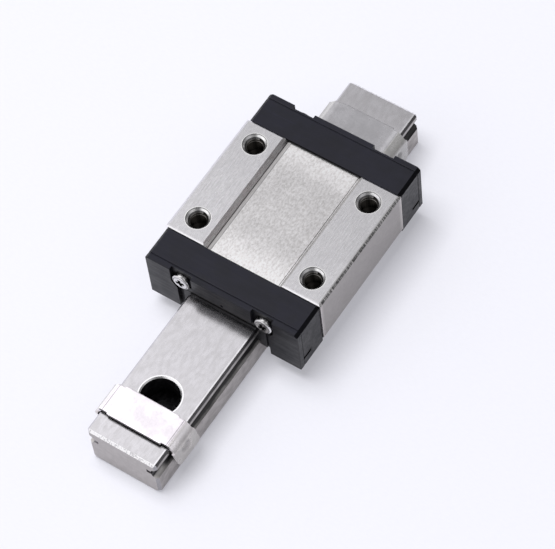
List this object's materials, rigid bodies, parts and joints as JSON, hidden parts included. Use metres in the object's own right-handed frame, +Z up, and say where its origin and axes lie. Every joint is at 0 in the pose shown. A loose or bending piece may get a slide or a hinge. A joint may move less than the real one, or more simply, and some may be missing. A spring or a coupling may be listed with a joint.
{
  "type": "miniature linear guide",
  "caption": "Steel profile rail with a recirculating-ball carriage, plastic end caps with seals, and a sheet-metal clip at each rail end.",
  "frame": {"origin": "centre of the rail's underside, midway between the rail's ends", "axes": "+X along the rail, towards the end where the carriage stands; +Y across the rail; +Z up, out of the carriage's mounting face"},
  "size_m": [0.07, 0.027, 0.013],
  "materials": {
    "rail_steel": "ground bearing steel, fine grain along the rail",
    "block_steel": "ground bearing steel, matt",
    "sheet_steel": "bent sheet steel, satin",
    "ball_steel": "polished",
    "screw_plating": "bright nickel plating",
    "spring_wire": "drawn wire",
    "seal_rubber": "matt black",
    "guide_plastic": "moulded",
    "cap_plastic": "moulded, fine matt grain"
  },
  "bodies": {
    "rail": {"rail": "rail_steel"},
    "carriage": {"carriage_block": "block_steel", "front_end_cap": "cap_plastic", "front_left_cap_screw": "screw_plating", "front_left_return_guide": "guide_plastic", "front_right_cap_screw": "screw_plating", "front_right_return_guide": "guide_plastic", "front_seal_plate": "cap_plastic", "front_wiper": "seal_rubber", "left_bottom_seal": "seal_rubber", "left_front_turn_balls": "ball_steel", "left_loaded_balls": "ball_steel", "left_rear_turn_balls": "ball_steel", "left_retainer_wire": "spring_wire", "left_return_balls": "ball_steel", "rear_end_cap": "cap_plastic", "rear_left_cap_screw": "screw_plating", "rear_left_return_guide": "guide_plastic", "rear_right_cap_screw": "screw_plating", "rear_right_return_guide": "guide_plastic", "rear_seal_plate": "cap_plastic", "rear_wiper": "seal_rubber", "right_bottom_seal": "seal_rubber", "right_front_turn_balls": "ball_steel", "right_loaded_balls": "ball_steel", "right_rear_turn_balls": "ball_steel", "right_retainer_wire": "spring_wire", "right_return_balls": "ball_steel"},
    "front_clip": {"front_clip": "sheet_steel"},
    "rear_clip": {"rear_clip": "sheet_steel"}
  },
  "joints": [
    {"name": "carriage_slide", "type": "slide", "parent": "rail", "child": "carriage", "axis": [1, 0, 0], "range_m": [-0.0166, 0.0005]},
    {"name": "front_clip_slide", "type": "slide", "parent": "rail", "child": "front_clip", "axis": [-1, 0, 0], "range_m": [0, 0.0095]},
    {"name": "rear_clip_slide", "type": "slide", "parent": "rail", "child": "rear_clip", "axis": [1, 0, 0], "range_m": [0, 0.0098]}
  ]
}
